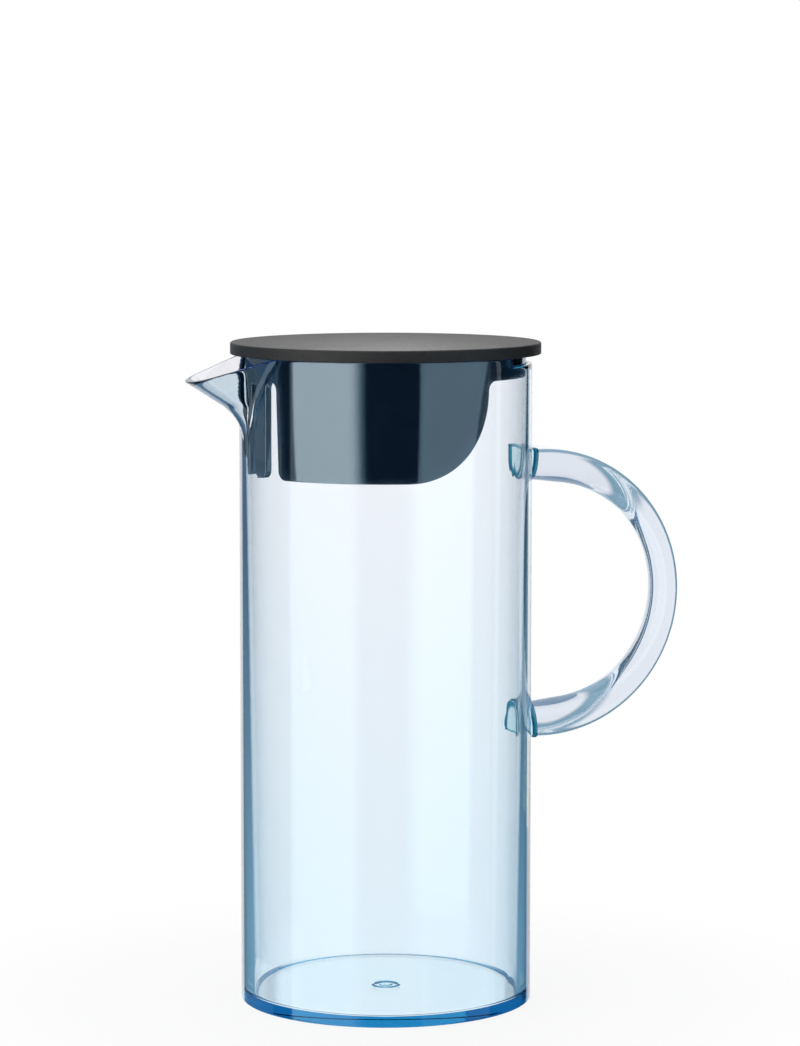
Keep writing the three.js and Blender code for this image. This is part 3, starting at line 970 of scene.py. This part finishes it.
def studio():
    world = bpy.data.worlds.new("studio")
    bpy.context.scene.world = world
    nodes = Nodes(world)
    place = nodes.node("ShaderNodeTexCoord", output="Generated")

    def along(direction):
        settings = {"operation": "DOT_PRODUCT"}
        return nodes.node("ShaderNodeVectorMath", settings, {0: place, 1: direction}, "Value")

    ahead = along(TOWARDS_CAMERA)
    right = along(TO_THE_RIGHT)
    turn = nodes.node("ShaderNodeMath", {"operation": "ARCTAN2"}, {0: right, 1: ahead})
    behind = nodes.node("ShaderNodeMath", {"operation": "ARCTAN2"}, {0: right, 1: 0 - ahead})

    def band(angle, low, high, low_soft=2, high_soft=2):
        rise = nodes.ramp(angle, math.radians(low - low_soft), math.radians(low + low_soft), 0, 1, True)
        fall = nodes.ramp(angle, math.radians(high - high_soft), math.radians(high + high_soft), 1, 0, True)
        return rise * fall

    def light(colour, strength):
        return nodes.node("ShaderNodeBackground", None, {"Color": colour, "Strength": strength})

    def either(share, first, second):
        return nodes.node("ShaderNodeMixShader", None, {0: share, 1: first, 2: second})

    passes = nodes.node("ShaderNodeLightPath", output="Transmission Depth")
    outside = nodes.ramp(passes, 0, 1, 1, 0)
    left_box = band(turn, -80, -22, 2, 8)
    right_box = band(turn, 28, 90)
    left_side = band(turn, -165, -101)
    narrow_sweep = band(behind, -10, 14)
    sweep = narrow_sweep + outside * (band(behind, -25, 29) - narrow_sweep)
    overhead = nodes.ramp(nodes.part_of(place, "Z"), OVERHEAD_START, OVERHEAD_END, 0, 1, True)
    boxes = DARK_LEVEL + LEFT_BOX_LEVEL * left_box + RIGHT_BOX_LEVEL * right_box
    sides = boxes + LEFT_SIDE_LEVEL * left_side + SWEEP_LEVEL * sweep
    level = sides + overhead * (OVERHEAD_LEVEL - sides)
    shine = light(nodes.blend(nodes.ramp(level, 0, 1, 0, 1), DIM_BLUE, WHITE), level)

    back = band(behind, -100, 100, 15, 15)
    guided_level = nodes.ramp(back, 0, 1, GUIDED_SIDE_LEVEL, GUIDED_BACK_LEVEL)
    guided = light(nodes.blend(back, GUIDED_BLUE, ROSE_WHITE), guided_level)

    passed = nodes.node("ShaderNodeLightPath", output="Is Transmission Ray")
    mirrored = nodes.node("ShaderNodeLightPath", output="Glossy Depth")
    straight = passed * nodes.ramp(mirrored, 0, 1, 1, 0)
    camera = nodes.node("ShaderNodeLightPath", output="Is Camera Ray")
    seen = either(guided_share(nodes), shine, guided)
    seen = either(straight, seen, light(ROSE_WHITE, nodes.ramp(passes, 2, 3, 1, FAR_WALL_LEVEL)))
    seen = either(camera, seen, light(WHITE, 1))
    nodes.node("ShaderNodeOutputWorld", None, {"Surface": seen})


def lid_light():
    """Narrow light from behind that rakes the front of the lid."""
    data = bpy.data.lights.new("lid_light", "SPOT")
    data.energy = LAMP_POWER
    data.spot_size = LAMP_SPREAD
    data.spot_blend = 1
    data.shadow_soft_size = LAMP_SIZE
    lamp = bpy.data.objects.new("lid_light", data)
    bpy.context.scene.collection.objects.link(lamp)
    lamp.location = -LAMP_DISTANCE * TOWARDS_CAMERA + Vector((0, 0, LAMP_HEIGHT))
    aim = LAMP_AIM * COVER_HIGH.y * TOWARDS_CAMERA + Vector((0, 0, COVER_HIGH.z)) - lamp.location
    lamp.rotation_euler = aim.to_track_quat("-Z", "Y").to_euler()


def photo_camera():
    data = bpy.data.cameras.new("camera")
    data.lens = CAMERA_LENS
    data.sensor_width = SENSOR_WIDTH
    camera = bpy.data.objects.new("camera", data)
    bpy.context.scene.collection.objects.link(camera)
    camera.location = CAMERA_DISTANCE * TOWARDS_CAMERA + Vector((0, 0, CAMERA_HEIGHT))
    heading = CAMERA_TURN + CAMERA_YAW
    camera.rotation_euler = (math.pi / 2 - CAMERA_PITCH, 0, -heading)
    bpy.context.scene.camera = camera


white_floor()
# painted shade: cards seen only in light mirrored inside the clear plastic, laying blue shade on its edges,
# keel and base
painted_shade_card("left_collar", collar(CARD_RADIUS, 230, 272, UNDER_BASE, CARD_TOP), SOFT_SHADE_BLUE, DEEP_SHADE_BLUE)
painted_shade_card("spout_foot_collar", collar(CARD_RADIUS, 272, 305, OVER_BASE, SPOUT_FOOT), SOFT_SHADE_BLUE, DEEP_SHADE_BLUE)
painted_shade_card("front_collar", collar(CARD_RADIUS, 305, 420, OVER_BASE, CARD_TOP), SOFT_SHADE_BLUE, DEEP_SHADE_BLUE)
painted_shade_card("right_collar", collar(LINE_CARD_RADIUS, 60, 98.5, UNDER_BASE, CARD_TOP), SOFT_SHADE_BLUE, LINE_SHADE_BLUE)
painted_shade_card("spout_collar", collar(SPOUT_CARD_RADIUS, 215, 360, 0, SPOUT_CARD_TOP), KEEL_SHADE_BLUE, KEEL_SHADE_BLUE)
painted_shade_card("left_base_card", flat_card(-BASE_CARD_END, BASE_GAP_LEFT), BASE_SHADE_BLUE, BASE_SHADE_BLUE)
painted_shade_card("right_base_card", flat_card(BASE_GAP_RIGHT, BASE_CARD_END), BASE_SHADE_BLUE, BASE_SHADE_BLUE)
lid_light()
studio()
photo_camera()
bpy.context.scene.view_settings.view_transform = "Standard"
bpy.context.scene.cycles.max_bounces = ALL_BOUNCES
bpy.context.scene.cycles.glossy_bounces = BOUNCES
bpy.context.scene.cycles.transmission_bounces = BOUNCES
bpy.context.scene.cycles.transparent_max_bounces = BOUNCES
